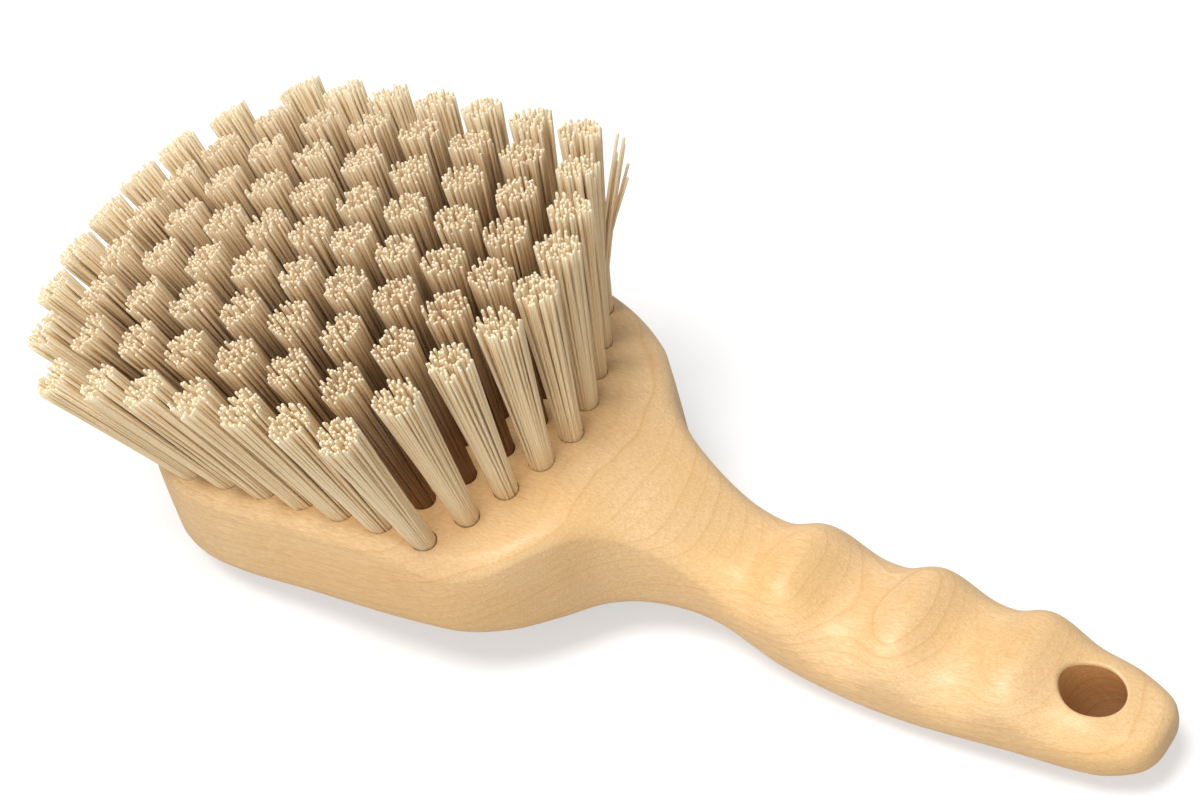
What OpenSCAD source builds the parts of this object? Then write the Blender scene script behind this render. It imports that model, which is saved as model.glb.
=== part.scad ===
/* [Head] */
// Length of the head from the toe to the start of the shoulder
head_len = 98; // [94:1:110]
// Width of the head
head_w = 81; // [79:1:96]
// Thickness of the head
head_t = 25; // [21:0.5:30]
// Radius of the edge round the drilled face
face_edge_r = 4; // [2:0.5:5]
// Radius of the edge round the back of the head
back_edge_r = 8; // [5:0.5:9]

/* [Handle] */
// Distance from the toe to the end of the handle
total_len = 215; // [206:1:236]
// Width of the neck
neck_w = 23; // [20:0.5:28]
// Width of the grip
grip_w = 30; // [26:0.5:34]
// Width of the handle at the hanging hole
end_w = 24.5; // [23:0.5:29]
// Thickness of the grip under the hollows for the fingers
grip_t = 21; // [18:0.5:25]
// Thickness of the handle's end
end_t = 15.5; // [12:0.5:17]
// How far the top of the neck drops below the drilled face
neck_drop = 16; // [12:0.5:20]
// How far the top of the grip's last ridge drops below the drilled face
grip_drop = 33; // [28:0.5:37]
// How far the top of the handle's end drops below the drilled face
end_drop = 34.5; // [31:0.5:38]
// Radius of the handle's edges
grip_edge_r = 8; // [5:0.5:9]
// Radius of the dome across the shoulder
shoulder_dome_r = 120; // [80:5:200]
// Radius of the dome across the grip
grip_dome_r = 40; // [30:1:80]
// Height of a finger ridge above the hollows beside it
ridge_h = 4.5; // [1:0.25:6]
// Distance from the shoulder to the first finger ridge
ridge_from_shoulder = 41; // [36:0.5:44]
// Spacing of the first two finger ridges
ridge_pitch = 24; // [22:0.5:27]
// Spacing of the last two finger ridges
last_pitch = 23.5; // [21:0.5:26]

/* [Hanging hole] */
// Diameter of the hanging hole
hang_d = 12; // [8:0.5:13.5]
// Distance from the middle of the hanging hole to the handle's end
hang_from_end = 14; // [13:0.5:20]
// Lean of the hanging hole towards the head, which sets it square to the back of the handle's end
hang_lean = 8; // [0:1:12]

/* [Tufts] */
// Tufts in the longest row
mid_tufts = 11; // [9:1:11]
// Distance from the toe to the first hole of the middle row, and from its last hole to the shoulder
end_margin = 7; // [6.5:0.5:10]
// Distance from the side of the head to the holes of the outer rows
side_margin = 6.1; // [5.5:0.1:7.5]
// How far the outer rows start behind the toe end of the middle row
toe_setback = 15; // [12:0.5:18]
// How far the outer rows stop short of the heel end of the middle row
heel_setback = 14; // [10:0.5:18]
// Diameter of a tuft hole
tuft_d = 5.2; // [4:0.1:5.6]
// Depth of a tuft hole along its axis
tuft_depth = 12; // [9:0.5:14]
// Height of the tips above the drilled face at their highest
trim_h = 42; // [25:1:50]
// Spread of the tips against that of the holes
flare = 1.3; // [1.05:0.01:1.34]
// Where the tufts stand upright, measured from the middle of the field
upright_x = 31; // [10:1:40]
// How much lower the tips are at the toe
toe_fall = 11; // [0:0.5:14]
// How much lower the tips are along the sides
side_fall = 4; // [0:0.5:8]
// Spread of the strands of a tuft at the tips against that in the hole
fan = 2.2; // [1:0.05:2.3]

/* [Anchors] */
// Width of the flat wire that pins each tuft in its hole
anchor_w = 2; // [1.5:0.1:2.4]
// Thickness of the flat wire
anchor_t = 0.5; // [0.3:0.05:0.7]

/* [Fits] */
// Gap between a tuft's root and its hole
root_gap = 0.1; // [0.05:0.05:0.2]
// Gap round an anchor in its tuft
anchor_gap = 0.1; // [0.05:0.05:0.2]

/* [Hidden] */

wood = [0.87, 0.72, 0.5];
bristle = [0.85, 0.79, 0.66];
steel = [0.7, 0.71, 0.72];

// Places along the brush, with the origin in the middle of the tuft field on the drilled face
toe_x = -head_len / 2;
shoulder_x = head_len / 2;
end_x = toe_x + total_len;
hang_x = end_x - hang_from_end;
ridge_x = [shoulder_x + ridge_from_shoulder,
    shoulder_x + ridge_from_shoulder + ridge_pitch,
    shoulder_x + ridge_from_shoulder + ridge_pitch + last_pitch];
half_head = head_w / 2;
half_neck = neck_w / 2;
half_grip = grip_w / 2;
half_end = end_w / 2;

// A point between two half widths of the shoulder's slope
function slope_y(f) = half_neck + f * (half_head - half_neck);

// Half of the outline seen from above, from the toe round to the handle's end
outline = [
    [toe_x, 0],
    [toe_x + 1, 13],
    [toe_x + 4.2, half_head - 16.5],
    [toe_x + 10.5, half_head - 7.5],
    [toe_x + 19, half_head - 2],
    [toe_x + 30, half_head],
    [toe_x + 46, half_head],
    [shoulder_x - 31, half_head],
    [shoulder_x - 17, half_head - 1.5],
    [shoulder_x - 7.5, half_head - 7],
    [shoulder_x - 0.5, slope_y(0.5)],
    [shoulder_x + 6, slope_y(0.22)],
    [shoulder_x + 14, slope_y(0.06)],
    [shoulder_x + 25, half_neck],
    [shoulder_x + 39, half_neck + 0.7 * (half_grip - half_neck)],
    [shoulder_x + 55, half_grip],
    [shoulder_x + 71, half_grip],
    [hang_x - 14, (half_grip + half_end) / 2 + 0.2],
    [hang_x, half_end],
    [end_x - 9, half_end - 1.6],
    [end_x - 3.5, half_end - 4.4],
    [end_x - 0.7, half_end - 8],
    [end_x, 0]];

// The head is drawn a little too high and then planed down to the drilled face
skim = 0.05;

// Height of the middle of the upper side, without the ridges
top_line = [
    [toe_x, skim],
    [shoulder_x - 16, skim],
    [shoulder_x, -2],
    [shoulder_x + 13, -neck_drop + 7],
    [shoulder_x + 27, -neck_drop - 2],
    [ridge_x[0], -neck_drop - 7],
    [ridge_x[1], (-neck_drop - 7 - grip_drop) / 2],
    [ridge_x[2], -grip_drop + 1],
    [hang_x, -end_drop],
    [hang_x + 8, -end_drop - 3.5],
    [end_x, -end_drop - 5]];

// Height of the middle of the back
back_line = [
    [toe_x, -head_t],
    [shoulder_x - 24, -head_t],
    [shoulder_x - 8, -head_t - 3],
    [shoulder_x + 14, -head_t - 9],
    [shoulder_x + 35, -neck_drop - grip_t - 3.5],
    [ridge_x[1] - 8, -grip_drop - grip_t + 9],
    [ridge_x[2], -grip_drop - grip_t + 7.5],
    [hang_x, -end_drop - end_t + 1],
    [end_x, -end_drop - end_t + 2.5]];

// How sharply the upper side is domed across the brush, as one over the radius
dome_line = [[toe_x, 0], [shoulder_x - 28, 0], [shoulder_x - 10, 1 / shoulder_dome_r],
    [shoulder_x + 4, 1 / shoulder_dome_r], [shoulder_x + 24, 1 / grip_dome_r], [end_x, 1 / grip_dome_r]];

// Radius of the upper edge
top_edge_line = [[toe_x, face_edge_r], [shoulder_x - 20, face_edge_r], [shoulder_x + 10, 3],
    [ridge_x[0], grip_edge_r], [hang_x, grip_edge_r - 1.5], [end_x, grip_edge_r - 3]];

// Radius of the lower edge
back_edge_line = [[toe_x, back_edge_r], [shoulder_x, back_edge_r],
    [ridge_x[0], grip_edge_r + 1], [hang_x, grip_edge_r], [end_x, grip_edge_r - 2]];

// A smooth curve through listed points, by number along the list
function spline(p, t) =
    let (n = len(p) - 1, k = min(floor(t), n - 1), f = t - k,
        a = k == 0 ? [p[1][0], -p[1][1]] : p[k - 1],
        b = p[k], c = p[k + 1],
        d = k == n - 1 ? [p[n - 1][0], -p[n - 1][1]] : p[k + 2])
    (2 * b + (c - a) * f + (2 * a - 5 * b + 4 * c - d) * f * f + (3 * b - a - 3 * c + d) * f ^ 3) / 2;

// Slope of a height line at one of its points
function lean(p, k) = k <= 0 || k >= len(p) - 1 ? 0
    : (p[k + 1][1] - p[k - 1][1]) / (p[k + 1][0] - p[k - 1][0]);

// Height on a smooth line through listed points, by distance along the brush
function height(p, x, k = 0) =
    x > p[k + 1][0] && k < len(p) - 2 ? height(p, x, k + 1)
    : let (w = p[k + 1][0] - p[k][0], f = min(max((x - p[k][0]) / w, 0), 1))
        p[k][1] * (1 + 2 * f) * (1 - f) ^ 2 + w * lean(p, k) * f * (1 - f) ^ 2
        + p[k + 1][1] * f ^ 2 * (3 - 2 * f) - w * lean(p, k + 1) * f ^ 2 * (1 - f);

// Height that one finger ridge adds
function ridge(x, at) = let (d = abs(x - at) / (last_pitch / 2)) d < 1 ? ridge_h * (0.5 + 0.5 * cos(180 * d)) : 0;
function ridges(x) = ridge(x, ridge_x[0]) + ridge(x, ridge_x[1]) + ridge(x, ridge_x[2]);

// The brush lies on its back, on the toe's lower edge and the lowest part of the handle
toe_edge = [toe_x + back_edge_r, -head_t + back_edge_r];
function tilt_onto(x) = let (d = toe_edge - [x, height(back_line, x)])
    atan2(d[1], -d[0]) - asin(back_edge_r / norm(d));
rest_tilt = max([for (x = [ridge_x[0]:2:end_x - grip_edge_r]) tilt_onto(x)]);

// Lays what is drawn on its back, with the origin in the middle of the hanging hole
hang_drop = end_drop + end_t / 2;
module at_rest() {
    rotate([0, -rest_tilt, 0]) translate([-hang_x, 0, hang_drop]) children();
}

// The block's skin is ribs that run across it, from the middle of the back round an edge to the middle of the top
span_steps = 4;
edge_steps = 5;
flat_steps = 2;
rib_count = span_steps * (len(outline) - 1);
points_per_rib = 2 * (edge_steps + flat_steps) + 1;
// Height of the plain wall that is left between the two edges where the block is thinnest
thinnest_wall = 0.6;

function edge_point(i) = spline(outline, i / span_steps);
function edge_normal(i) =
    let (d = edge_point(min(i + 0.01, rib_count)) - edge_point(max(i - 0.01, 0)))
    i == 0 ? [-1, 0] : i == rib_count ? [1, 0] : [-d[1], d[0]] / norm(d);

// Where a rib meets the brush's middle plane: the ribs of the toe and of the handle's end fan out from even steps
toe_fan = 5 * span_steps;
end_fan = rib_count - 4 * span_steps;
fan_start = toe_x + 22;
fan_end = end_x - 11.6;
function spine_x(i) =
    i < toe_fan ? fan_start + (outline[5][0] - fan_start) * i / toe_fan
    : i > end_fan ? hang_x + (fan_end - hang_x) * (i - end_fan) / (rib_count - end_fan)
    : edge_point(i)[0];

// Heights of the domed upper side without its ridges, and of the back
function dome_z(p) = height(top_line, p[0]) - height(dome_line, p[0]) * p[1] ^ 2 / 2;
function back_z(p) = height(back_line, p[0]);

// Radius of an edge, made smaller where the block is too thin for both edges
function edge_r(p, side) =
    let (up = height(top_edge_line, p[0]), down = height(back_edge_line, p[0]),
        room = min(1, (dome_z(p) - back_z(p)) / (up + down + thinnest_wall)))
    room * (side > 0 ? up : down);

// One point of a rib: side is 1 on top and -1 on the back, step counts from the wall to the middle
function rib_point(i, side, step) =
    let (p = edge_point(i), n = edge_normal(i), r = edge_r(p, side),
        turn = 90 * min(step, edge_steps) / edge_steps,
        inner = max(step - edge_steps, 0) / flat_steps,
        q = p - n * r * (1 - cos(turn)),
        s = [spine_x(i), 0],
        xy = q + (s - q) * inner,
        z = side > 0 ? dome_z(xy) + ridges(xy[0]) : back_z(xy))
    [xy[0], xy[1], z - side * r * (1 - sin(turn))];

function rib(i) = concat(
    [for (s = [edge_steps + flat_steps:-1:1]) rib_point(i, -1, s)],
    [(rib_point(i, -1, 0) + rib_point(i, 1, 0)) / 2],
    [for (s = [1:edge_steps + flat_steps]) rib_point(i, 1, s)]);

module block_skin() {
    ribs = [for (i = [0:rib_count]) rib(i)];
    last = points_per_rib - 1;
    near = [for (i = [0:rib_count]) for (p = ribs[i]) p];
    far = [for (i = [0:rib_count]) for (p = ribs[i]) [p[0], -p[1], p[2]]];
    // The two halves share the toe's rib, the end's rib and the middle line
    function id(i, j, half) =
        half == 0 || i == 0 || i == rib_count || j == 0 || j == last
        ? i * points_per_rib + j : len(near) + i * points_per_rib + j;
    faces = [for (h = [0, 1]) for (i = [0:rib_count - 1]) for (j = [0:last - 1])
        let (a = id(i, j, h), b = id(i + 1, j, h), c = id(i + 1, j + 1, h), d = id(i, j + 1, h))
        each h == 0 ? [[a, b, c], [a, c, d]] : [[a, c, b], [a, d, c]]];
    polyhedron(concat(near, far), faces, convexity = 6);
}

// Tufts
rows = 9;
mid_row = 4;
field_len = head_len - 2 * end_margin;
row_pitch = (half_head - side_margin) / mid_row;
function tufts_in(r) = mid_tufts - abs(r - mid_row);
function row_start(r) = -field_len / 2 + toe_setback * (abs(r - mid_row) / mid_row) ^ 3;
function row_end(r) = field_len / 2 - heel_setback * (abs(r - mid_row) / mid_row) ^ 1.5;
function base(r, k) = [row_start(r) + (row_end(r) - row_start(r)) * k / (tufts_in(r) - 1),
    (r - mid_row) * row_pitch, 0];
highest_x = field_len / 4;
function trim(b) = trim_h - toe_fall * ((b[0] - highest_x) / (field_len / 2 + highest_x)) ^ 2
    - side_fall * (b[1] / (mid_row * row_pitch)) ^ 2;
function tip(r, k) = let (b = base(r, k))
    [upright_x + flare * (b[0] - upright_x), flare * b[1], trim(b)];

// Puts what is drawn along +Z on a tuft's axis
module on_axis(r, k) {
    b = base(r, k);
    d = tip(r, k) - b;
    translate(b) rotate([0, acos(d[2] / norm(d)), atan2(d[1], d[0])]) children();
}

// Turns a bore about its own axis, so that its seam misses the skin's middle line
seam_turn = 17;
// How far a cutting shape reaches past the surface that it cuts
reach = 6;

module tuft_holes() {
    for (r = [0:rows - 1]) for (k = [0:tufts_in(r) - 1])
        on_axis(r, k) translate([0, 0, -tuft_depth]) rotate(seam_turn)
            cylinder(h = tuft_depth + reach, d = tuft_d, $fn = 32);
}

module planed_skin() {
    difference() {
        block_skin();
        translate([toe_x - reach, -head_w, 0]) cube([head_len + 2 * reach, 2 * head_w, reach]);
    }
}

module block() {
    color(wood) difference() {
        planed_skin();
        translate([hang_x, 0, -hang_drop]) rotate([0, -hang_lean, 0]) rotate(seam_turn)
            cylinder(h = 2 * end_t, d = hang_d, center = true, $fn = 64);
        tuft_holes();
    }
}

// Strands of a tuft: one in the middle and a ring round it
ring_strands = 5;
strand_w = 1.2;
ring_r = tuft_d / 2 - root_gap - strand_w * 0.8;
root_rise = 0.5;
slot_depth = tuft_depth - 2.5;

// A strand of four sides from the root to its tip, both measured along and across the tuft's axis
module strand(from, to, top) {
    low = -1;
    corners = [for (a = [45:90:315]) strand_w / sqrt(2) * [cos(a), sin(a)]];
    polyhedron(
        [for (c = corners) [from[0] + c[0], from[1] + c[1], low],
         for (c = corners) [to[0] + c[0], to[1] + c[1], top]],
        [[0, 1, 2], [0, 2, 3], [4, 6, 5], [4, 7, 6],
         for (i = [0:3]) let (j = (i + 1) % 4) each [[i, i + 4, j + 4], [i, j + 4, j]]]);
}

module tuft(r, k) {
    top = norm(tip(r, k) - base(r, k));
    on_axis(r, k) {
        difference() {
            translate([0, 0, -tuft_depth]) cylinder(h = tuft_depth + root_rise, d = tuft_d - 2 * root_gap, $fn = 32);
            translate([0, 0, -slot_depth])
                cube([tuft_d, anchor_t + 2 * anchor_gap, anchor_w + 2 * anchor_gap], center = true);
        }
        strand([0, 0], [0, 0], top);
        for (i = [0:ring_strands - 1]) let (a = 360 * i / ring_strands, c = ring_r * [cos(a), sin(a)])
            strand(c, fan * c, top);
    }
}

module tuft_row(r) {
    color(bristle) for (k = [0:tufts_in(r) - 1]) tuft(r, k);
}

module anchor_row(r) {
    color(steel) for (k = [0:tufts_in(r) - 1])
        on_axis(r, k) translate([0, 0, -slot_depth]) cube([tuft_d - root_gap * 2, anchor_t, anchor_w], center = true);
}

at_rest() block();
for (r = [0:rows - 1]) {
    at_rest() tuft_row(r);
    at_rest() anchor_row(r);
}
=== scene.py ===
import math

import bmesh
import bpy
import numpy as np
from mathutils import Matrix, Vector
from mathutils.bvhtree import BVHTree


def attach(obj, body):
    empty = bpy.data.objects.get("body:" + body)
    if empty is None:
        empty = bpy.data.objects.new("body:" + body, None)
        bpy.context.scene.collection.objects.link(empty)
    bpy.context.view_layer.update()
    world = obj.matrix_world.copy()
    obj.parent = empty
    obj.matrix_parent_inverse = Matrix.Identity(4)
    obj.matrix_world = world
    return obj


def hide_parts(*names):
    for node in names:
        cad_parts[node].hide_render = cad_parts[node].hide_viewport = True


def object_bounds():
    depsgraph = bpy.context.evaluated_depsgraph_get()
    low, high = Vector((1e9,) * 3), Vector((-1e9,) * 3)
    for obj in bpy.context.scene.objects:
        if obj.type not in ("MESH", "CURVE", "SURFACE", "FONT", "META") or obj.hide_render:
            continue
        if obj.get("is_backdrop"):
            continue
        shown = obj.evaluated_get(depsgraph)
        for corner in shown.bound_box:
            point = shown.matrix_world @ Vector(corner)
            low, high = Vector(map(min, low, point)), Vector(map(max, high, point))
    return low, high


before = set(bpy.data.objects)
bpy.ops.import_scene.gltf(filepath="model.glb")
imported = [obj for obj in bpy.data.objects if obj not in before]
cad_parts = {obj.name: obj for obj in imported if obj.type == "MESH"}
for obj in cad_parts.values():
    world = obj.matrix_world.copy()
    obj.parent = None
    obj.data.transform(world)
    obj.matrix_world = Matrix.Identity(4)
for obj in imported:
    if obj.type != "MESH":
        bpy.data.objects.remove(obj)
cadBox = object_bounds()

# Sizes of the brush in millimetres, in the head's own frame: origin in the middle of the tuft field
# on the drilled face, X towards the handle, Z along the bristles. They are the sizes of the CAD
# model, apart from slightly sharper ridge crests and a slightly blunter handle end.
brush = {
    "headLength": 98,
    "headWidth": 81,
    "headThickness": 25,
    "faceEdge": 4,
    "backEdge": 8,
    "totalLength": 215,
    "neckWidth": 23,
    "gripWidth": 30,
    "endWidth": 24.5,
    "gripThickness": 21,
    "endThickness": 15.5,
    "neckDrop": 16,
    "gripDrop": 33,
    "endDrop": 34.5,
    "gripEdge": 8,
    "shoulderDome": 120,
    "gripDome": 40,
    "ridgeHeight": 4.5,
    "crestSharpness": 1.3,
    "ridgeFromShoulder": 41,
    "ridgePitch": 24,
    "lastPitch": 23.5,
    "hangDiameter": 12,
    "hangFromEnd": 14,
    "hangLean": 8,
    "thinnestWall": 0.6,
}
toeX = -brush["headLength"] / 2
shoulderX = brush["headLength"] / 2
endX = toeX + brush["totalLength"]
hangX = endX - brush["hangFromEnd"]
hangDrop = brush["endDrop"] + brush["endThickness"] / 2
ridgeX = [shoulderX + brush["ridgeFromShoulder"]]
ridgeX.append(ridgeX[0] + brush["ridgePitch"])
ridgeX.append(ridgeX[1] + brush["lastPitch"])
halfHead = brush["headWidth"] / 2
halfNeck = brush["neckWidth"] / 2
halfGrip = brush["gripWidth"] / 2
halfEnd = brush["endWidth"] / 2
neckDrop, gripDrop, endDrop = brush["neckDrop"], brush["gripDrop"], brush["endDrop"]
headT, gripT, endT = brush["headThickness"], brush["gripThickness"], brush["endThickness"]


def slopeY(f):
    return halfNeck + f * (halfHead - halfNeck)


outline = np.array([
    [toeX, 0],
    [toeX + 1, 13],
    [toeX + 4.2, halfHead - 16.5],
    [toeX + 10.5, halfHead - 7.5],
    [toeX + 19, halfHead - 2],
    [toeX + 30, halfHead],
    [toeX + 46, halfHead],
    [shoulderX - 31, halfHead],
    [shoulderX - 17, halfHead - 1.5],
    [shoulderX - 7.5, halfHead - 7],
    [shoulderX - 0.5, slopeY(0.5)],
    [shoulderX + 6, slopeY(0.22)],
    [shoulderX + 14, slopeY(0.06)],
    [shoulderX + 25, halfNeck],
    [shoulderX + 39, halfNeck + 0.7 * (halfGrip - halfNeck)],
    [shoulderX + 55, halfGrip],
    [shoulderX + 71, halfGrip],
    [hangX - 14, (halfGrip + halfEnd) / 2 + 0.2],
    [hangX, halfEnd],
    [endX - 8.4, halfEnd - 1.3],
    [endX - 2.9, halfEnd - 4.1],
    [endX - 0.45, halfEnd - 7.8],
    [endX, 0],
])
topLine = np.array([
    [toeX, 0],
    [shoulderX - 16, 0],
    [shoulderX, -2],
    [shoulderX + 13, -neckDrop + 7],
    [shoulderX + 27, -neckDrop - 2],
    [ridgeX[0], -neckDrop - 7],
    [ridgeX[1], (-neckDrop - 7 - gripDrop) / 2],
    [ridgeX[2], -gripDrop + 1],
    [hangX, -endDrop],
    [hangX + 8, -endDrop - 3],
    [endX, -endDrop - 4.2],
])
backLine = np.array([
    [toeX, -headT],
    [shoulderX - 24, -headT],
    [shoulderX - 8, -headT - 3],
    [shoulderX + 14, -headT - 9],
    [shoulderX + 35, -neckDrop - gripT - 3.5],
    [ridgeX[1] - 8, -gripDrop - gripT + 9],
    [ridgeX[2], -gripDrop - gripT + 7.5],
    [hangX, -endDrop - endT + 1],
    [endX, -endDrop - endT + 2],
])
shoulderBend, gripBend = 1 / brush["shoulderDome"], 1 / brush["gripDome"]
domeLine = np.array([
    [toeX, 0],
    [shoulderX - 28, 0],
    [shoulderX - 10, shoulderBend],
    [shoulderX + 4, shoulderBend],
    [shoulderX + 24, gripBend],
    [endX, gripBend],
])
gripEdge = brush["gripEdge"]
topEdgeLine = np.array([
    [toeX, brush["faceEdge"]],
    [shoulderX - 20, brush["faceEdge"]],
    [shoulderX + 10, 3],
    [ridgeX[0], gripEdge],
    [hangX, gripEdge - 1.5],
    [endX, gripEdge - 5],
])
backEdgeLine = np.array([
    [toeX, brush["backEdge"]],
    [shoulderX, brush["backEdge"]],
    [ridgeX[0], gripEdge + 1],
    [hangX, gripEdge],
    [endX, gripEdge - 3.5],
])


def height(line, x):
    x = np.asarray(x, float)
    xs, zs = line[:, 0], line[:, 1]
    lean = np.zeros(len(xs))
    lean[1:-1] = (zs[2:] - zs[:-2]) / (xs[2:] - xs[:-2])
    k = np.clip(np.searchsorted(xs, x, side="left") - 1, 0, len(xs) - 2)
    w = xs[k + 1] - xs[k]
    f = np.clip((x - xs[k]) / w, 0, 1)
    return (
        zs[k] * (1 + 2 * f) * (1 - f) ** 2
        + w * lean[k] * f * (1 - f) ** 2
        + zs[k + 1] * f**2 * (3 - 2 * f)
        - w * lean[k + 1] * f**2 * (1 - f)
    )


def ridges(x):
    total = np.zeros(np.shape(x))
    for at in ridgeX:
        d = np.clip(np.abs(x - at) / (brush["lastPitch"] / 2), 0, 1)
        swell = (0.5 + 0.5 * np.cos(np.pi * d)) ** brush["crestSharpness"]
        total = total + brush["ridgeHeight"] * swell
    return total


def domeZ(xy):
    return height(topLine, xy[:, 0]) - height(domeLine, xy[:, 0]) * xy[:, 1] ** 2 / 2


def edgeRadii(p):
    up, down = height(topEdgeLine, p[:, 0]), height(backEdgeLine, p[:, 0])
    room = (domeZ(p) - height(backLine, p[:, 0])) / (up + down + brush["thinnestWall"])
    return np.minimum(room, 1) * up, np.minimum(room, 1) * down


def spline(p, t):
    n = len(p) - 1
    first = np.array([p[1][0], -p[1][1]])
    last = np.array([p[n - 1][0], -p[n - 1][1]])
    padded = np.vstack([first, p, last])
    k = np.minimum(np.floor(t).astype(int), n - 1)
    f = (t - k)[:, None]
    a, b, c, d = padded[k], padded[k + 1], padded[k + 2], padded[k + 3]
    square, cube = 2 * a - 5 * b + 4 * c - d, 3 * b - a - 3 * c + d
    return (2 * b + (c - a) * f + square * f**2 + cube * f**3) / 2


# The resting brush is tilted so that the toe's lower edge and the grip's belly touch the floor
toeEdge = np.array([toeX + brush["backEdge"], -headT + brush["backEdge"]])
bellyX = np.arange(ridgeX[0], endX - gripEdge + 0.01, 2)
reach = toeEdge - np.stack([bellyX, height(backLine, bellyX)], 1)
tilts = np.degrees(np.arctan2(reach[:, 1], -reach[:, 0])) - np.degrees(
    np.arcsin(brush["backEdge"] / np.linalg.norm(reach, axis=1))
)
restTilt = float(tilts.max())
toRow = (
    Matrix.Scale(0.001, 4)
    @ Matrix.Rotation(math.radians(-restTilt), 4, "Y")
    @ Matrix.Translation((-hangX, 0, hangDrop))
)
toRowArray = np.array(toRow)
print("rest tilt", round(restTilt, 4))


def rowPoints(points):
    points = np.asarray(points, float)
    return points @ toRowArray[:3, :3].T + toRowArray[:3, 3]


def srgb(r, g, b):
    def linear(c):
        c /= 255
        return c / 12.92 if c <= 0.04045 else ((c + 0.055) / 1.055) ** 2.4

    return (linear(r), linear(g), linear(b), 1)


def node(tree, kind, inputs=None, **settings):
    made = tree.nodes.new(kind)
    for key, value in settings.items():
        setattr(made, key, value)
    for key, value in (inputs or {}).items():
        if isinstance(value, bpy.types.NodeSocket):
            tree.links.new(value, made.inputs[key])
        else:
            made.inputs[key].default_value = value
    return made


def ramp(tree, factor, stops, interpolation="LINEAR"):
    made = tree.nodes.new("ShaderNodeValToRGB")
    made.color_ramp.interpolation = interpolation
    elements = made.color_ramp.elements
    while len(elements) < len(stops):
        elements.new(0.5)
    for element, (position, colour) in zip(elements, stops):
        element.position = position
        element.color = colour
    tree.links.new(factor, made.inputs["Fac"])
    return made.outputs["Color"]


def math2(tree, operation, a, b=0.0, clamp=False):
    return node(tree, "ShaderNodeMath", {0: a, 1: b}, operation=operation, use_clamp=clamp).outputs[0]


def stretchedNoise(tree, place, scale, detail, roughness=0.5, distortion=0.0):
    stretched = node(tree, "ShaderNodeMapping", {"Vector": place, "Scale": scale}).outputs["Vector"]
    noise = {"Scale": 1.0, "Detail": detail, "Roughness": roughness, "Distortion": distortion}
    return node(tree, "ShaderNodeTexNoise", {"Vector": stretched, **noise}).outputs["Fac"]


def bumpOf(tree, height, strength, distance):
    inputs = {"Strength": strength, "Distance": distance, "Height": height}
    return node(tree, "ShaderNodeBump", inputs).outputs["Normal"]


def mixColour(tree, factor, a, b, blend="MIX"):
    made = tree.nodes.new("ShaderNodeMix")
    made.data_type = "RGBA"
    made.blend_type = blend
    for socket, value in ((made.inputs[0], factor), (made.inputs[6], a), (made.inputs[7], b)):
        if isinstance(value, bpy.types.NodeSocket):
            tree.links.new(value, socket)
        else:
            socket.default_value = value
    return made.outputs[2]


def material(name):
    made = bpy.data.materials.new(name)
    made.use_nodes = True
    tree = made.node_tree
    shader = next(n for n in tree.nodes if n.type == "BSDF_PRINCIPLED")
    return made, tree, shader


def meshObject(name, points, faces, materials, faceMaterials=None):
    mesh = bpy.data.meshes.new(name)
    mesh.from_pydata([tuple(p) for p in points], [], [tuple(f) for f in faces])
    for m in materials:
        mesh.materials.append(m)
    if faceMaterials is not None:
        mesh.polygons.foreach_set("material_index", np.asarray(faceMaterials, np.int32))
    mesh.update()
    made = bpy.data.objects.new(name, mesh)
    bpy.context.scene.collection.objects.link(made)
    return made


# Growth layers, fibre and pores of a pale close-grained wood. Lengths are millimetres of the head's
# frame, and scales are per millimetre along, across and through the grain.
grainLook = {
    "layer": 2.0,
    "layerBend": 0.0011,
    "layerLean": -0.07,
    "heartY": 6.0,
    "waviness": 3.6,
    "waveScale": (0.012, 0.032, 0.05),
    "layerSteps": 1.7,
    "faintest": 0.14,
    "patchScale": 0.035,
    "fibreScale": (0.4, 3.0, 3.0),
    "fibreWander": 1.3,
    "poreScale": (0.42, 2.6, 2.6),
    "poreRange": (0.61, 0.72),
    "toneScale": (0.014, 0.04, 0.06),
}


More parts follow.
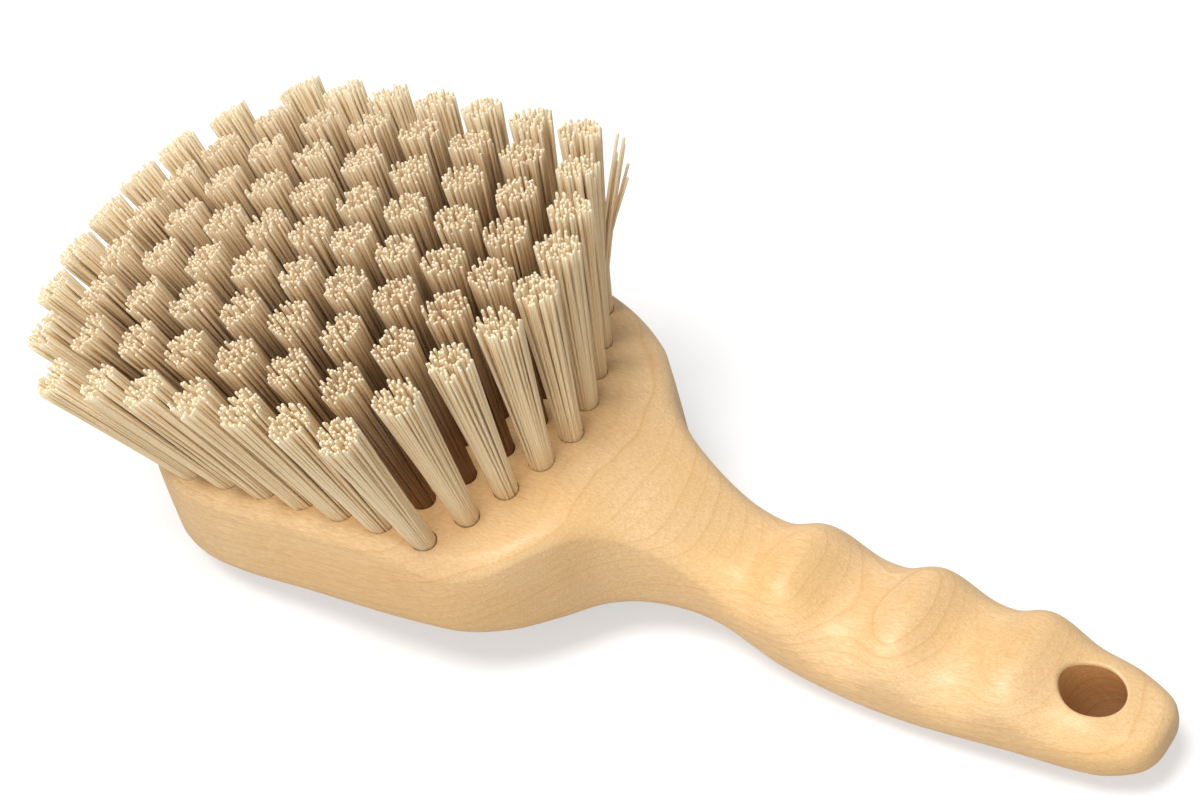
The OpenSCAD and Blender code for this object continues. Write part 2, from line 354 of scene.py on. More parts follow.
def woodGrainGroup():
    look = grainLook
    group = bpy.data.node_groups.new("woodGrain", "ShaderNodeTree")
    for name in ("Tone", "Line", "Fibre", "Fleck"):
        group.interface.new_socket(name, in_out="OUTPUT", socket_type="NodeSocketFloat")
    out = group.nodes.new("NodeGroupOutput")
    place = node(group, "ShaderNodeTexCoord").outputs["Object"]
    turn = (0, math.radians(restTilt), 0)
    inHead = {"Vector": place, "Rotation": turn, "Scale": (1000, 1000, 1000)}
    turned = node(group, "ShaderNodeMapping", inHead, vector_type="POINT").outputs["Vector"]
    parts = node(group, "ShaderNodeSeparateXYZ", {0: turned})
    x, y, z = parts.outputs[0], parts.outputs[1], parts.outputs[2]
    # Slow wander of the layers, longer along the grain than across it
    wander = stretchedNoise(group, turned, look["waveScale"], 2.0, 0.45)
    offset = math2(group, "MULTIPLY", math2(group, "SUBTRACT", wander, 0.5), look["waviness"] * 2)
    off = math2(group, "SUBTRACT", y, look["heartY"])
    bend = math2(group, "MULTIPLY", math2(group, "MULTIPLY", off, off), look["layerBend"])
    leaning = math2(group, "MULTIPLY", x, look["layerLean"])
    depth = math2(group, "ADD", math2(group, "ADD", z, offset), math2(group, "ADD", bend, leaning))
    layers = math2(group, "DIVIDE", depth, look["layer"])
    stops = [(0.0, 0.0), (0.5, 0.06), (0.8, 0.3), (0.9, 1.0), (1.0, 0.0)]
    greys = [(at, (level, level, level, 1)) for at, level in stops]
    line = ramp(group, math2(group, "FRACT", layers), greys, "EASE")
    # Each layer has its own strength, so that few lines stand out
    strength = node(
        group,
        "ShaderNodeTexNoise",
        {"W": math2(group, "FLOOR", layers), "Scale": look["layerSteps"], "Detail": 0.0},
        noise_dimensions="1D",
    ).outputs["Fac"]
    patchy = {"Vector": turned, "Scale": look["patchScale"], "Detail": 1.0}
    patch = node(group, "ShaderNodeTexNoise", patchy).outputs["Fac"]
    shown = math2(group, "SUBTRACT", strength, look["faintest"], True)
    fade = math2(group, "MULTIPLY", shown, math2(group, "ADD", patch, 0.6))
    drawn = math2(group, "MULTIPLY", line, math2(group, "MULTIPLY", fade, 2.0), True)
    group.links.new(drawn, out.inputs["Line"])
    # Fine fibre drawn out along the grain
    fibre = stretchedNoise(group, turned, look["fibreScale"], 3.0, 0.6, look["fibreWander"])
    group.links.new(fibre, out.inputs["Fibre"])
    # Short dark pores
    pores = stretchedNoise(group, turned, look["poreScale"], 1.5)
    black, white = (0, 0, 0, 1), (1, 1, 1, 1)
    low, high = look["poreRange"]
    fleck = ramp(group, pores, [(0.0, black), (low, black), (high, white), (1.0, white)])
    group.links.new(fleck, out.inputs["Fleck"])
    # Broad change of tone
    tone = stretchedNoise(group, turned, look["toneScale"], 3.0, 0.55)
    group.links.new(tone, out.inputs["Tone"])
    return group


grainGroup = woodGrainGroup()

# How strongly the grain marks the wood, and the colours of the outside and of the hanging hole, whose
# wall is darker for its end grain and for painted shade
woodLook = {
    "toneRange": (0.32, 0.68),
    "ringMix": 0.36,
    "shadeMix": 0.6,
    "shadeRange": (0.3, 0.66),
    "fleckMix": 0.14,
    "fleckDepth": 0.5,
    "roughnessSpread": 0.16,
    "bump": 0.25,
    "bumpDepth": 0.00006,
    "outside": {
        "pale": srgb(246, 212, 160),
        "warm": srgb(243, 203, 143),
        "ring": srgb(219, 163, 92),
        "dark": srgb(208, 154, 96),
        "roughness": 0.46,
    },
    # Wall of the hanging hole: darker for its end grain, and partly painted shade
    "hole": {
        "pale": srgb(222, 165, 102),
        "warm": srgb(212, 153, 90),
        "ring": srgb(166, 108, 56),
        "dark": srgb(160, 104, 56),
        "roughness": 0.6,
    },
}


def woodMaterial(name, finish):
    look, dark = woodLook, finish["dark"]
    made, tree, shader = material(name)
    grain = node(tree, "ShaderNodeGroup", node_tree=grainGroup)
    tone, line, fibre, fleck = (grain.outputs[k] for k in ("Tone", "Line", "Fibre", "Fleck"))
    palest, warmest = look["toneRange"]
    colour = ramp(tree, tone, [(palest, finish["pale"]), (warmest, finish["warm"])], "EASE")
    colour = mixColour(tree, math2(tree, "MULTIPLY", line, look["ringMix"]), colour, finish["ring"])
    darkest, lightest = look["shadeRange"]
    shade = ramp(tree, fibre, [(darkest, (1, 1, 1, 1)), (lightest, (0, 0, 0, 1))])
    colour = mixColour(tree, math2(tree, "MULTIPLY", shade, look["shadeMix"]), colour, dark)
    colour = mixColour(tree, math2(tree, "MULTIPLY", fleck, look["fleckMix"]), colour, dark)
    tree.links.new(colour, shader.inputs["Base Color"])
    spread = look["roughnessSpread"]
    low = finish["roughness"] - spread / 2
    rough = math2(tree, "ADD", math2(tree, "MULTIPLY", fibre, spread), low)
    tree.links.new(rough, shader.inputs["Roughness"])
    pits = math2(tree, "MULTIPLY", fleck, look["fleckDepth"])
    relief = math2(tree, "SUBTRACT", fibre, pits)
    tree.links.new(bumpOf(tree, relief, look["bump"], look["bumpDepth"]), shader.inputs["Normal"])
    return made


wood = woodMaterial("paleWood", woodLook["outside"])
holeGrainAndShadeWood = woodMaterial("holeGrainAndShadeWood", woodLook["hole"])

# Painted shade: the walls of the tuft holes are coloured a mottled dark brown, so that a dark line
# shows round the foot of each tuft
holeShadeLook = {
    "shadeDark": srgb(52, 30, 14),
    "shadeBrown": srgb(96, 62, 32),
    "range": (0.3, 0.7),
    "grain": 900.0,
    "roughness": 0.8,
    "bump": 0.3,
    "bumpDepth": 0.0001,
}


def holeShadeMaterial():
    look = holeShadeLook
    made, tree, shader = material("paintedHoleShade")
    place = node(tree, "ShaderNodeTexCoord").outputs["Object"]
    mottled = {"Vector": place, "Scale": look["grain"], "Detail": 3.0}
    shadeNoise = node(tree, "ShaderNodeTexNoise", mottled).outputs["Fac"]
    low, high = look["range"]
    # Mottled dark brown of the painted shade in the tuft holes
    colour = ramp(tree, shadeNoise, [(low, look["shadeDark"]), (high, look["shadeBrown"])])
    tree.links.new(colour, shader.inputs["Base Color"])
    shader.inputs["Roughness"].default_value = look["roughness"]
    tree.links.new(bumpOf(tree, shadeNoise, look["bump"], look["bumpDepth"]), shader.inputs["Normal"])
    return made


holeShade = holeShadeMaterial()

# The block: ribs across the brush, as in the CAD model but finer
skinMesh = {
    "spanSteps": 12,
    "edgeSteps": 10,
    "flatSteps": 12,
    "toeFan": 5,
    "endFan": 4,
    "toeSpine": 22,
    "endSpine": 9.6,
    "sharpAngle": 38,
}


def blockSkin():
    span, edge, flat = skinMesh["spanSteps"], skinMesh["edgeSteps"], skinMesh["flatSteps"]
    count = span * (len(outline) - 1)
    index = np.arange(count + 1)
    p = spline(outline, index / span)
    ahead = spline(outline, np.minimum(index / span + 0.01, count / span))
    behind = spline(outline, np.maximum(index / span - 0.01, 0))
    d = ahead - behind
    n = np.stack([-d[:, 1], d[:, 0]], 1) / np.linalg.norm(d, axis=1)[:, None]
    n[0], n[-1] = (-1, 0), (1, 0)
    toeFan, endFan = skinMesh["toeFan"] * span, count - skinMesh["endFan"] * span
    fanStart, fanEnd = toeX + skinMesh["toeSpine"], endX - skinMesh["endSpine"]
    spine = p[:, 0].copy()
    toe, end = index < toeFan, index > endFan
    spine[toe] = fanStart + (outline[5][0] - fanStart) * index[toe] / toeFan
    spine[end] = hangX + (fanEnd - hangX) * (index[end] - endFan) / (count - endFan)

    radii = edgeRadii(p)

    def ribPoints(side, step):
        r = radii[0] if side > 0 else radii[1]
        turn = math.pi / 2 * min(step, edge) / edge
        inner = max(step - edge, 0) / flat
        q = p - n * (r * (1 - math.cos(turn)))[:, None]
        s = np.stack([spine, np.zeros(len(spine))], 1)
        xy = q + (s - q) * inner
        if side > 0:
            z = domeZ(xy) + ridges(xy[:, 0])
        else:
            z = height(backLine, xy[:, 0])
        return np.column_stack([xy, z - side * r * (1 - math.sin(turn))])

    wall = (ribPoints(-1, 0) + ribPoints(1, 0)) / 2
    below = [ribPoints(-1, s) for s in range(edge + flat, 0, -1)]
    above = [ribPoints(1, s) for s in range(1, edge + flat + 1)]
    near = np.stack(below + [wall] + above, 1)
    per = near.shape[1]
    far = near * np.array([1, -1, 1])
    points = np.vstack([near.reshape(-1, 3), far.reshape(-1, 3)])
    last = per - 1
    total = near.shape[0] * per

    def ident(i, j, half):
        if half == 0 or i == 0 or i == count or j == 0 or j == last:
            return i * per + j
        return total + i * per + j

    faces = []
    for half in (0, 1):
        for i in range(count):
            for j in range(last):
                a, b = ident(i, j, half), ident(i + 1, j, half)
                c, e = ident(i + 1, j + 1, half), ident(i, j + 1, half)
                faces.append((a, e, c, b) if half == 0 else (a, b, c, e))
    return points, faces


# Tufts: nine staggered rows of holes, with tips that spread and are trimmed to a dome
tufts = {
    "rows": 9,
    "middleRow": 4,
    "middleTufts": 11,
    "fieldLength": 84,
    "rowPitch": 8.6,
    "toeSetback": 15,
    "heelSetback": 14,
    "holeDiameter": 5.2,
    "holeDepth": 12,
    "holeSides": 24,
    "cutterRise": 6,
    "trimHeight": 42,
    "flare": 1.3,
    "uprightX": 31,
    "toeFall": 11,
    "sideFall": 4,
}


def tuftsIn(r):
    return tufts["middleTufts"] - abs(r - tufts["middleRow"])


def tuftBase(r, k):
    out = abs(r - tufts["middleRow"]) / tufts["middleRow"]
    start = -tufts["fieldLength"] / 2 + tufts["toeSetback"] * out**3
    stop = tufts["fieldLength"] / 2 - tufts["heelSetback"] * out**1.5
    x = start + (stop - start) * k / (tuftsIn(r) - 1)
    return np.array([x, (r - tufts["middleRow"]) * tufts["rowPitch"], 0])


def tuftTip(r, k):
    b = tuftBase(r, k)
    top = tufts["fieldLength"] / 4
    z = (
        tufts["trimHeight"]
        - tufts["toeFall"] * ((b[0] - top) / (tufts["fieldLength"] / 2 + top)) ** 2
        - tufts["sideFall"] * (b[1] / (tufts["middleRow"] * tufts["rowPitch"])) ** 2
    )
    x = tufts["uprightX"] + tufts["flare"] * (b[0] - tufts["uprightX"])
    return np.array([x, tufts["flare"] * b[1], z])


def tuftAxis(r, k):
    b, t = tuftBase(r, k), tuftTip(r, k)
    d = t - b
    length = np.linalg.norm(d)
    tilt, turn = math.acos(d[2] / length), math.atan2(d[1], d[0])
    axes = Matrix.Rotation(turn, 3, "Z") @ Matrix.Rotation(tilt, 3, "Y")
    return b, np.array(axes), length


def tubeFaces(count, segments):
    faces = []
    for i in range(count - 1):
        low, high = i * segments, (i + 1) * segments
        for s in range(segments):
            t = (s + 1) % segments
            faces.append((low + s, low + t, high + t, high + s))
    return faces


def closedTube(ends, across, up, radius, segments):
    angles = [2 * math.pi * s / segments for s in range(segments)]
    points = [e + radius * (math.cos(a) * across + math.sin(a) * up) for e in ends for a in angles]
    faces = tubeFaces(len(ends), segments)
    faces.append(tuple(range(segments - 1, -1, -1)))
    faces.append(tuple((len(ends) - 1) * segments + s for s in range(segments)))
    return points, faces


# The hanging hole: a wall and two rounded rims take the place of the cutter's plain wall
hangHole = {
    "topRim": 0.75,
    "topFillet": 0.8,
    "backRim": 0.3,
    "backFillet": 0.3,
    "land": 0.3,
    "filletSteps": 7,
    "segments": 96,
    "wallSteps": 4,
    "cutterHalf": 20,
    "flange": 0.35,
    "flangeDepth": 0.02,
    "probe": 40,
}
plainSlot, holeShadeSlot, cutterSlot, holeSlot = 0, 1, 2, 3  # the block's material slots
lean = math.radians(brush["hangLean"])
hangAxis = np.array([-math.sin(lean), 0, math.cos(lean)])
hangAcross = np.array([math.cos(lean), 0, math.sin(lean)])
hangUp = np.array([0, 1.0, 0])
hangCentre = np.array([hangX, 0, -hangDrop])
hangRadius = brush["hangDiameter"] / 2
cutRadius = hangRadius + hangHole["topRim"] + hangHole["land"]


def cutterMesh():
    points, faces, kinds = [], [], []

    def add(made, kind):
        base = len(points)
        points.extend(made[0])
        faces.extend(tuple(base + i for i in f) for f in made[1])
        kinds.extend([kind] * len(made[1]))

    for r in range(tufts["rows"]):
        for k in range(tuftsIn(r)):
            b, axes, _ = tuftAxis(r, k)
            ends = [b + axes[:, 2] * z for z in (-tufts["holeDepth"], tufts["cutterRise"])]
            radius = tufts["holeDiameter"] / 2
            add(closedTube(ends, axes[:, 0], axes[:, 1], radius, tufts["holeSides"]), holeShadeSlot)
    ends = [hangCentre + hangAxis * z for z in (-hangHole["cutterHalf"], hangHole["cutterHalf"])]
    add(closedTube(ends, hangAcross, hangUp, cutRadius, hangHole["segments"]), cutterSlot)
    return points, faces, kinds


def hangSleeve(tree):
    look = hangHole
    steps, segments = look["filletSteps"], look["segments"]
    rings = []  # points of each ring, and whether it lies on the plain wall

    def surface(radius, angle, side):
        ray = hangCentre + radius * (math.cos(angle) * hangAcross + math.sin(angle) * hangUp)
        origin = Vector(rowPoints([ray + side * hangAxis * look["probe"]])[0])
        target = Vector(rowPoints([ray])[0])
        hit = tree.ray_cast(origin, (target - origin).normalized())[0]
        return np.array(hit)

    angles = [2 * math.pi * s / segments for s in range(segments)]
    axisInRow = toRowArray[:3, :3] @ hangAxis
    sides = ((1, look["topRim"], look["topFillet"]), (-1, look["backRim"], look["backFillet"]))
    for side, rim, fillet in sides:
        sunk = side * axisInRow * look["flangeDepth"]
        made = [[surface(cutRadius + look["flange"], a, side) - sunk for a in angles]]
        made.append([surface(cutRadius, a, side) for a in angles])
        start = [surface(hangRadius + rim, a, side) for a in angles]
        corner = [surface(hangRadius, a, side) for a in angles]
        deep = [c - side * axisInRow * fillet for c in corner]
        for s in range(steps + 1):
            t = s / steps
            near, middle, far = (1 - t) ** 2, 2 * t * (1 - t), t * t
            made.append([near * p + middle * c + far * d for p, c, d in zip(start, corner, deep)])
        if side > 0:
            rings, lastTop = [(ring, False) for ring in made], made[-1]
            continue
        for s in range(1, look["wallSteps"]):
            t = s / look["wallSteps"]
            rings.append(([a + (b - a) * t for a, b in zip(lastTop, made[-1])], True))
        rings += [(ring, i == 0) for i, ring in enumerate(reversed(made))]
    points = [p for ring, _ in rings for p in ring]
    kinds = []
    for above, below in zip(rings, rings[1:]):
        kinds += [holeSlot if above[1] or below[1] else plainSlot] * segments
    return points, tubeFaces(len(rings), segments), kinds


def makeBlock():
    points, faces = blockSkin()
    points = rowPoints(points)
    slots = [wood, holeShade, holeShade, holeGrainAndShadeWood]
    block = meshObject("brushBlock", points, faces, slots)
    tree = BVHTree.FromPolygons([Vector(p) for p in points], faces)
    cutPoints, cutFaces, cutKinds = cutterMesh()
    cutter = meshObject("cutter", rowPoints(cutPoints), cutFaces, slots, cutKinds)
    modifier = block.modifiers.new("holes", "BOOLEAN")
    modifier.operation = "DIFFERENCE"
    modifier.solver = "MANIFOLD"
    modifier.material_mode = "INDEX"
    modifier.object = cutter
    depsgraph = bpy.context.evaluated_depsgraph_get()
    cut = bpy.data.meshes.new_from_object(block.evaluated_get(depsgraph))
    block.modifiers.clear()
    block.data = cut
    bpy.data.objects.remove(cutter)
    bm = bmesh.new()
    bm.from_mesh(cut)
    plainWall = [f for f in bm.faces if f.material_index == cutterSlot]
    bmesh.ops.delete(bm, geom=plainWall, context="FACES")
    sleevePoints, sleeveFaces, sleeveKinds = hangSleeve(tree)
    made = [bm.verts.new(p) for p in sleevePoints]
    sleeve = []
    for face, kind in zip(sleeveFaces, sleeveKinds):
        f = bm.faces.new([made[i] for i in face])
        f.material_index = kind
        sleeve.append(f)
    bm.normal_update()
    centre = Vector(rowPoints([hangCentre])[0])
    probe = sleeve[len(sleeve) // 2]
    if probe.normal.dot(probe.calc_center_median() - centre) > 0:
        bmesh.ops.reverse_faces(bm, faces=sleeve)
    for f in bm.faces:
        f.smooth = True
    bm.normal_update()
    sharp = math.radians(skinMesh["sharpAngle"])
    for e in bm.edges:
        if len(e.link_faces) == 2:
            a, b = e.link_faces
            sameKind = (a.material_index == holeShadeSlot) == (b.material_index == holeShadeSlot)
            e.smooth = a.normal.angle(b.normal, 0) < sharp and sameKind
    bm.to_mesh(cut)
    bm.free()
    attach(block, "root")
    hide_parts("block")
    print("block", len(cut.polygons), "faces")


makeBlock()

# Bristles: single filaments with rounded tips, packed in rings in each hole and fanned out at the tips
bristle = {
    "rings": (1, 6, 13, 22, 34),
    "radius": 0.285,
    "tipRadius": 0.335,
    "thickness": (0.92, 1.08),
    "bundle": 2.12,
    "spread": 4.0,
    "spreadRange": (0.9, 1.05),
    "farthest": 4.45,
    "sides": 8,
    "start": -5.0,
    "bow": 0.2,
    "bendPower": 1.35,
    "alongSteps": (0.0, 0.28, 0.52, 0.76, 1.0),
    "tipSteps": ((0.55, 0.84), (0.92, 0.48)),  # height and width of the rounded tip, in radii
    "tipHeight": 1.1,
    "tipPart": 0.97,
    "angleWander": 0.03,
    "rootWander": 0.015,
    "wander": 0.36,
    "shortest": 2.8,
    "shadeBrownPower": 0.48,
    "seed": 4100,
    "strays": 7,
    "strayOut": (3, 6.2),
    "strayAcross": (-8, -1.5),
    "strayShort": (2, 13),
}

fibreLook = {
    "shades": [
        (0.0, srgb(238, 211, 168)),
        (0.45, srgb(246, 222, 180)),
        (0.8, srgb(250, 230, 191)),
        (1.0, srgb(240, 214, 170)),
    ],
    "streakScale": (2600, 2600, 260),
    "streak": srgb(204, 170, 122),
    "streakFrom": 0.45,
    "streakMix": 0.5,
    "tip": srgb(255, 242, 212),
    "tipRange": (0.9, 0.985),
    "tipMix": 0.75,
    # Painted shade of the inner tufts, darker towards the wood, mixed in by the deep attribute
    "shadeBrowns": [(0.25, srgb(200, 154, 98)), (0.5, srgb(142, 100, 58)), (0.85, srgb(136, 98, 60))],
    "shadeBrownMix": 1.3,
    "roughness": 0.5,
    "specular": 0.35,
    "bump": 0.2,
    "bumpDepth": 0.00003,
}


def bristleMaterial():
    look = fibreLook
    made, tree, shader = material("stiffFibre")
    island = node(tree, "ShaderNodeNewGeometry").outputs["Random Per Island"]
    along = node(tree, "ShaderNodeAttribute", attribute_name="along").outputs["Fac"]
    deep = node(tree, "ShaderNodeAttribute", attribute_name="deep").outputs["Fac"]
    place = node(tree, "ShaderNodeTexCoord").outputs["Object"]
    streak = stretchedNoise(tree, place, look["streakScale"], 2.0)
    above = math2(tree, "SUBTRACT", streak, look["streakFrom"], True)
    marked = math2(tree, "MULTIPLY", above, look["streakMix"], True)
    colour = mixColour(tree, marked, ramp(tree, island, look["shades"]), look["streak"])
    low, high = look["tipRange"]
    tip = ramp(tree, along, [(low, (0, 0, 0, 1)), (high, (1, 1, 1, 1))])
    colour = mixColour(tree, math2(tree, "MULTIPLY", tip, look["tipMix"]), colour, look["tip"])
    # Painted shade: the inner tufts are darkened towards their roots
    shadeAmount = math2(tree, "MULTIPLY", deep, look["shadeBrownMix"], True)
    colour = mixColour(tree, shadeAmount, colour, ramp(tree, deep, look["shadeBrowns"]))
    tree.links.new(colour, shader.inputs["Base Color"])
    shader.inputs["Roughness"].default_value = look["roughness"]
    shader.inputs["Specular IOR Level"].default_value = look["specular"]
    tree.links.new(bumpOf(tree, streak, look["bump"], look["bumpDepth"]), shader.inputs["Normal"])
    return made


fibre = bristleMaterial()


def filament(rng, root, tip, length, bow):
    look = bristle
    thickness = rng.uniform(*look["thickness"])
    radius = look["tipRadius"] * thickness
    sides, start, tipPart = look["sides"], look["start"], look["tipPart"]
    rings = []
    bowAngle = rng.uniform(0, 2 * math.pi)
    for t in look["alongSteps"]:
        eased = t ** look["bendPower"]
        sway = bow * math.sin(math.pi * t)
        centre = np.array([
            root[0] + (tip[0] - root[0]) * eased + sway * math.cos(bowAngle),
            root[1] + (tip[1] - root[1]) * eased + sway * math.sin(bowAngle),
            start + (length - start - look["tipHeight"] * radius) * t,
        ])
        width = look["radius"] + (look["tipRadius"] - look["radius"]) * t
        rings.append((centre, width * thickness, tipPart * t))
    lift = rings[-1][0]
    for up, width in look["tipSteps"]:
        raised = lift + np.array([0, 0, up * radius])
        rings.append((raised, radius * width, tipPart + (1 - tipPart) * up))
    turn = rng.uniform(0, math.pi)
    angles = turn + np.arange(sides) * 2 * math.pi / sides
    circle = np.stack([np.cos(angles), np.sin(angles), np.zeros(sides)], 1)
    top = lift + np.array([0, 0, look["tipHeight"] * radius])
    points = np.concatenate([c + circle * r for c, r, _ in rings] + [[top]])
    along = np.concatenate([np.full(sides, a) for _, _, a in rings] + [[1.0]])
    return points, along


def filamentFaces():
    sides, rings = bristle["sides"], len(bristle["alongSteps"]) + len(bristle["tipSteps"])
    top, last = rings * sides, (rings - 1) * sides
    caps = [(last + s, last + (s + 1) % sides, top) for s in range(sides)]
    return tubeFaces(rings, sides) + caps + [tuple(range(sides - 1, -1, -1))]


def makeRow(r):
    look = bristle
    rng = np.random.default_rng(look["seed"] + r)
    pattern = filamentFaces()
    points, along, deep, faces = [], [], [], []
    base = 0
    for k in range(tuftsIn(r)):
        origin, axes, length = tuftAxis(r, k)
        spin = rng.uniform(0, 2 * math.pi)
        # Painted shade: the fibre of the tufts inside the field is darkened towards the wood, where
        # the tufts shade each other; the tufts round its edge stay pale
        inner = 0 < r < tufts["rows"] - 1 and 0 < k < tuftsIn(r) - 1
        farHeel = r == tufts["rows"] - 1 and k == tuftsIn(r) - 1
        for ring, inRing in enumerate(look["rings"]):
            away = ring / (len(look["rings"]) - 1)
            for j in range(inRing):
                turn = spin * (1 + ring) + 2 * math.pi * j / inRing
                angle = turn + rng.normal(0, look["angleWander"])
                direction = np.array([math.cos(angle), math.sin(angle)])
                root = direction * away * look["bundle"] + rng.normal(0, look["rootWander"], 2)
                tip = direction * away * look["spread"] * rng.uniform(*look["spreadRange"])
                tip = tip + rng.normal(0, look["wander"], 2)
                reach = np.linalg.norm(tip)
                if reach > look["farthest"]:
                    tip *= look["farthest"] / reach
                short = look["shortest"] * rng.beta(1.2, 3.0)
                bow = look["bow"] * rng.uniform(0, 1)
                # A few outer bristles of the far heel tuft have sprung out of their bundle
                if farHeel and away == 1 and j < look["strays"]:
                    tip = np.array([rng.uniform(*look["strayOut"]), rng.uniform(*look["strayAcross"])])
                    short = rng.uniform(*look["strayShort"])
                made, part = filament(rng, root, tip, length - short, bow)
                points.append(made @ axes.T + origin)
                along.append(part)
                # deep: how much painted shade the fibre gets, strongest at the root of an inner tuft
                deep.append(inner * np.clip(1 - part, 0, 1) ** look["shadeBrownPower"])
                faces.extend(tuple(base + i for i in f) for f in pattern)
                base += len(made)
    name = "bristles_row_%d" % (r + 1)
    row = meshObject(name, rowPoints(np.concatenate(points)), faces, [fibre])
    for key, values in (("along", along), ("deep", deep)):
        attribute = row.data.attributes.new(key, "FLOAT", "POINT")
        attribute.data.foreach_set("value", np.concatenate(values).astype(np.float32))
    row.data.polygons.foreach_set("use_smooth", np.ones(len(faces), bool))
    row.data.update()
    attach(row, "root")
    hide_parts("tuft_row_%d" % (r + 1))
    print(name, base, "points", len(faces), "faces")


for r in range(tufts["rows"]):
    makeRow(r)

# Flat drawn wire, which pins the tufts inside their holes
wireLook = {
    "drawnScale": (300, 6000, 6000),
    "greys": [(0.3, srgb(150, 152, 156)), (0.7, srgb(190, 192, 196))],
    "roughness": 0.25,
    "roughnessSpread": 0.2,
    "bump": 0.2,
    "bumpDepth": 0.00002,
}


def anchorMaterial():
    look = wireLook
    made, tree, shader = material("flatWire")
    place = node(tree, "ShaderNodeTexCoord").outputs["Object"]
    marks = stretchedNoise(tree, place, look["drawnScale"], 3.0)
    tree.links.new(ramp(tree, marks, look["greys"]), shader.inputs["Base Color"])
    uneven = math2(tree, "MULTIPLY", marks, look["roughnessSpread"])
    tree.links.new(math2(tree, "ADD", uneven, look["roughness"]), shader.inputs["Roughness"])
    shader.inputs["Metallic"].default_value = 1.0
    tree.links.new(bumpOf(tree, marks, look["bump"], look["bumpDepth"]), shader.inputs["Normal"])
    return made


wire = anchorMaterial()
for r in range(tufts["rows"]):
    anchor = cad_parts["anchor_row_%d" % (r + 1)]
    if not anchor.material_slots:
        anchor.data.materials.append(wire)
    for s in anchor.material_slots:
        s.material = wire
print("anchors done")

# Camera fitted to the photograph, in millimetres of the head's frame
cameraFit = {
    "right": (0.8336620, 0.5052784, -0.2229381),
    "up": (-0.2185614, 0.6725608, 0.7070310),
    "back": (0.5071869, -0.5406993, 0.6711228),
    "across": 40.7446,
    "raise": -3.4541,
    "distance": 926.7423,
    "sensor": 36,
    "lens": 139.0096,
    "clip": (0.05, 20),
}


def makeCamera():
    data = bpy.data.cameras.new("camera")
    data.sensor_width = cameraFit["sensor"]
    data.lens = cameraFit["lens"]
    camera = bpy.data.objects.new("camera", data)
    bpy.context.scene.collection.objects.link(camera)
    right, up, back = (np.array(cameraFit[k]) for k in ("right", "up", "back"))
    place = right * cameraFit["across"] + up * cameraFit["raise"] + back * cameraFit["distance"]
    turn = np.array(Matrix.Rotation(math.radians(-restTilt), 3, "Y"))
    axes = np.column_stack([turn @ right, turn @ up, turn @ back])
    moved = Matrix.Translation(Vector(rowPoints([place])[0]))
    camera.matrix_world = moved @ Matrix(axes.tolist()).to_4x4()
    data.clip_start, data.clip_end = cameraFit["clip"]
    bpy.context.scene.camera = camera
    print("camera done")


makeCamera()

# Pale floor. Glow is added to it for the camera alone, and world is the level of the surroundings.
stageLook = {
    "size": 8.0,
    "floor": 0.56,
    "roughness": 0.9,
    "specular": 0.1,
    "glow": 0.52,
    "world": 0.19,
}


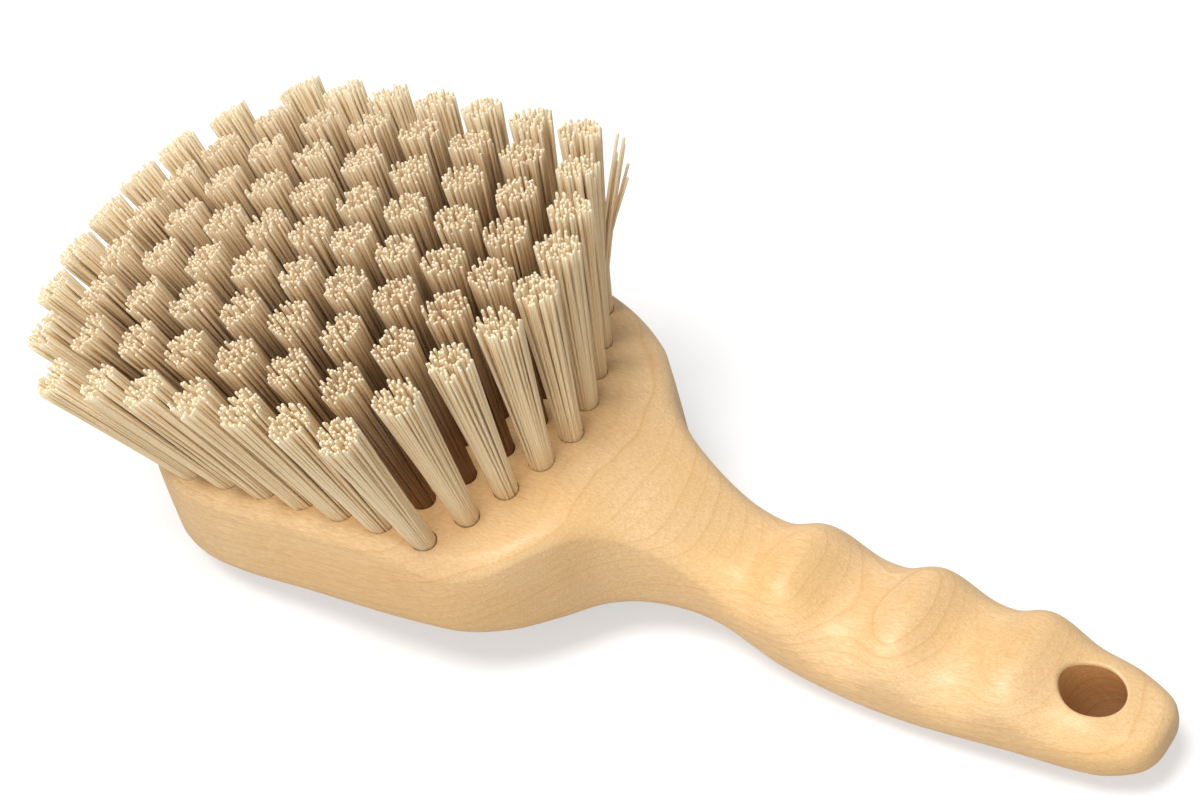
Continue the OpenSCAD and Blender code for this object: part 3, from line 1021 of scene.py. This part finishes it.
def makeStage():
    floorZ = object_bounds()[0].z
    half = stageLook["size"] / 2
    corners = [(x * half, y * half, floorZ) for x, y in ((-1, -1), (1, -1), (1, 1), (-1, 1))]
    made, tree, shader = material("paleFloor")
    level = stageLook["floor"]
    shader.inputs["Base Color"].default_value = (level, level, level, 1)
    shader.inputs["Roughness"].default_value = stageLook["roughness"]
    shader.inputs["Specular IOR Level"].default_value = stageLook["specular"]
    seen = node(tree, "ShaderNodeLightPath").outputs["Is Camera Ray"]
    shine = math2(tree, "MULTIPLY", seen, stageLook["glow"])
    glow = node(tree, "ShaderNodeEmission", {"Color": (1, 1, 1, 1), "Strength": shine})
    both = node(tree, "ShaderNodeAddShader", {0: shader.outputs[0], 1: glow.outputs[0]})
    # The floor is clear from below, so that the underside of the brush can be looked at
    clear = node(tree, "ShaderNodeBsdfTransparent")
    under = node(tree, "ShaderNodeNewGeometry").outputs["Backfacing"]
    below = math2(tree, "MULTIPLY", under, seen)
    sided = node(tree, "ShaderNodeMixShader", {0: below, 1: both.outputs[0], 2: clear.outputs[0]})
    output = next(n for n in tree.nodes if n.type == "OUTPUT_MATERIAL")
    tree.links.new(sided.outputs[0], output.inputs["Surface"])
    floor = meshObject("floor", corners, [(0, 1, 2, 3)], [made])
    floor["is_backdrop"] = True
    print("floor done")


makeStage()


def makeWorld():
    world = bpy.data.worlds.new("world")
    bpy.context.scene.world = world
    world.use_nodes = True
    tree = world.node_tree
    background = next(n for n in tree.nodes if n.type == "BACKGROUND")
    background.inputs["Color"].default_value = (1, 1, 1, 1)
    path = node(tree, "ShaderNodeLightPath")
    seen = math2(tree, "MAXIMUM", path.outputs["Is Camera Ray"], path.outputs["Is Glossy Ray"])
    seen = math2(tree, "MAXIMUM", seen, path.outputs["Is Transmission Ray"])
    level = stageLook["world"]
    strength = math2(tree, "ADD", math2(tree, "MULTIPLY", seen, 1 - level), level)
    tree.links.new(strength, background.inputs["Strength"])


# Broad lamps: direction, angle across in degrees, and the level of a white surface that faces them
lamps = {
    "keyLamp": {"towards": (-0.17, -0.18, 0.96), "across": 30, "level": 0.84},
    "nearLamp": {"towards": (-0.15, -1.0, 0.12), "across": 85, "level": 0.34},
    "endLamp": {"towards": (0.45, -0.88, 0.08), "across": 85, "level": 0.23},
    "backLamp": {"towards": (-0.5, 1.0, 0.3), "across": 85, "level": 0.08},
}


def makeLamp(name, look):
    data = bpy.data.lights.new(name, "SUN")
    data.angle = math.radians(look["across"])
    data.energy = look["level"] * math.pi
    lamp = bpy.data.objects.new(name, data)
    bpy.context.scene.collection.objects.link(lamp)
    towards = Vector(look["towards"]).normalized()
    lamp.location = towards
    lamp.rotation_mode = "QUATERNION"
    lamp.rotation_quaternion = (-towards).to_track_quat("-Z", "Y")


makeWorld()
for name, look in lamps.items():
    makeLamp(name, look)
print("world and lamps done")

bpy.context.scene.view_settings.view_transform = "Standard"
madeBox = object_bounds()
for label, box in (("solids", cadBox), ("dressed", madeBox)):
    print(label, [[round(v, 4) for v in corner] for corner in box])
